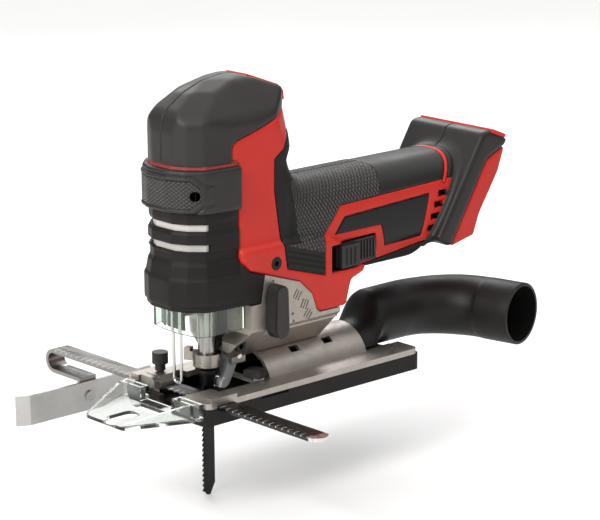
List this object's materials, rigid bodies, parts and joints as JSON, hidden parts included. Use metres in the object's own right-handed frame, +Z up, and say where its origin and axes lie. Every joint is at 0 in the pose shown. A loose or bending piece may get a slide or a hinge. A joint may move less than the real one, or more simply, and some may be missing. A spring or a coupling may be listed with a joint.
{
  "type": "jigsaw power tool",
  "caption": "Cordless barrel-grip jigsaw with a bevelling base, orbital lever, rip fence, clear line guide and a bent dust tube; battery slot empty.",
  "frame": {"origin": "where the blade's axis crosses the sole plane", "axes": "+Z up along the blade, the tool's front towards -X, its right side +Y"},
  "size_m": [0.2883, 0.2372, 0.2415],
  "materials": {
    "red_plastic": "fine moulding grain, semi-matt",
    "black_plastic": "moulded, satin",
    "black_rubber": "soft overmould, textured",
    "name_plate": "glossy blank label",
    "cast_aluminium": "die cast, lightly blasted",
    "clear_plastic": "clear polycarbonate",
    "bright_steel": "plated",
    "turned_steel": "turned and ground",
    "dark_steel": "blackened",
    "bearing_bronze": "sintered",
    "circuit_board": "lacquered"
  },
  "bodies": {
    "housing": {"shell_left": "red_plastic", "shell_right": "red_plastic", "cap_left": "black_plastic", "cap_right": "black_plastic", "cap_strip": "red_plastic", "grip_ring": "black_rubber", "ring_pad": "black_rubber", "head_cover": "black_plastic", "slot_liner": "cast_aluminium", "grip_left": "black_rubber", "grip_right": "black_rubber", "rear_sleeve": "black_plastic", "plate_left": "name_plate", "plate_right": "name_plate", "foot_left": "black_plastic", "foot_right": "black_plastic", "foot_ring": "red_plastic", "rail_frame": "red_plastic", "contact_block": "black_plastic", "battery_contacts": "bearing_bronze", "gear_housing": "cast_aluminium", "chip_shield": "clear_plastic", "wire_guard": "bright_steel", "led_lens": "clear_plastic", "shell_screws": "dark_steel", "housing_screws": "dark_steel", "switch_module": "black_plastic", "control_board": "circuit_board", "stator": "turned_steel", "windings": "bearing_bronze", "motor_bearings": "turned_steel", "plunger_bushes": "bearing_bronze", "fork_pin": "bright_steel"},
    "rotor": {"rotor_shaft": "turned_steel", "rotor_core": "turned_steel", "cooling_fan": "black_plastic"},
    "crank": {"drive_gear": "turned_steel", "counterweight": "turned_steel"},
    "plunger": {"plunger_rod": "turned_steel", "yoke": "turned_steel", "blade_holder": "dark_steel", "saw_blade": "dark_steel"},
    "collar": {"release_collar": "turned_steel"},
    "fork": {"pendulum_fork": "bright_steel"},
    "roller": {"guide_roller": "bright_steel"},
    "orbital_lever": {"orbital_lever": "black_plastic"},
    "switch_slider": {"switch_slider": "black_plastic"},
    "base": {"base_plate": "cast_aluminium", "sole_shoe": "black_plastic", "line_indicator": "clear_plastic", "fence_bracket": "dark_steel"},
    "clamp_lever": {"bevel_lever": "bright_steel", "lever_tip": "black_plastic"},
    "thumb_screw": {"thumb_screw": "black_plastic"},
    "fence": {"fence_bar": "dark_steel", "fence_plate": "cast_aluminium", "fence_rivet": "bright_steel"},
    "dust_tube": {"dust_tube": "black_plastic"}
  },
  "joints": [
    {"name": "crank_spin", "type": "hinge", "parent": "housing", "child": "crank", "pos_m": [0.015, 0, 0.122], "axis": [1, 0, 0], "continuous": true},
    {"name": "rotor_spin", "type": "hinge", "parent": "housing", "child": "rotor", "pos_m": [0.08, 0, 0.098], "axis": [1, 0, 0], "continuous": true},
    {"name": "plunger_stroke", "type": "slide", "parent": "housing", "child": "plunger", "axis": [0, 0, 1], "range_m": [-0.003, 0.023]},
    {"name": "collar_turn", "type": "hinge", "parent": "plunger", "child": "collar", "pos_m": [0, 0, 0.0246], "axis": [0, 0, 1], "range_deg": [0, 30], "stiffness_Nm_per_rad": 0.02, "springref_deg": -22.92},
    {"name": "fork_swing", "type": "hinge", "parent": "housing", "child": "fork", "pos_m": [0.016, 0, 0.026], "axis": [0, 1, 0], "range_deg": [-4, 0]},
    {"name": "roller_spin", "type": "hinge", "parent": "fork", "child": "roller", "pos_m": [0.0076, 0, 0.0112], "axis": [0, 1, 0], "continuous": true},
    {"name": "orbital_select", "type": "hinge", "parent": "housing", "child": "orbital_lever", "pos_m": [0.025, -0.03, 0.0452], "axis": [0, 1, 0], "range_deg": [0, 81]},
    {"name": "switch_slide", "type": "slide", "parent": "housing", "child": "switch_slider", "axis": [-1, 0, 0], "range_m": [0, 0.005]},
    {"name": "base_bevel", "type": "hinge", "parent": "housing", "child": "base", "pos_m": [0.06, 0, 0.006], "axis": [1, 0, 0], "range_deg": [-10, 45]},
    {"name": "clamp_swing", "type": "hinge", "parent": "base", "child": "clamp_lever", "pos_m": [0.0249, -0.008, 0.0143], "axis": [0, 0, 1], "range_deg": [-20, 0]},
    {"name": "thumb_turn", "type": "hinge", "parent": "base", "child": "thumb_screw", "pos_m": [-0.0154, 0.023, 0.02], "axis": [0, 0, 1], "range_deg": [0, 360]},
    {"name": "fence_slide", "type": "slide", "parent": "base", "child": "fence", "axis": [0, 1, 0], "range_m": [-0.04, 0.06]},
    {"name": "tube_pull", "type": "slide", "parent": "base", "child": "dust_tube", "axis": [1, 0, 0], "range_m": [0, 0.014]}
  ],
  "couplings": [
    {"joint": "rotor_spin", "follows": "crank_spin", "ratio": -5}
  ]
}
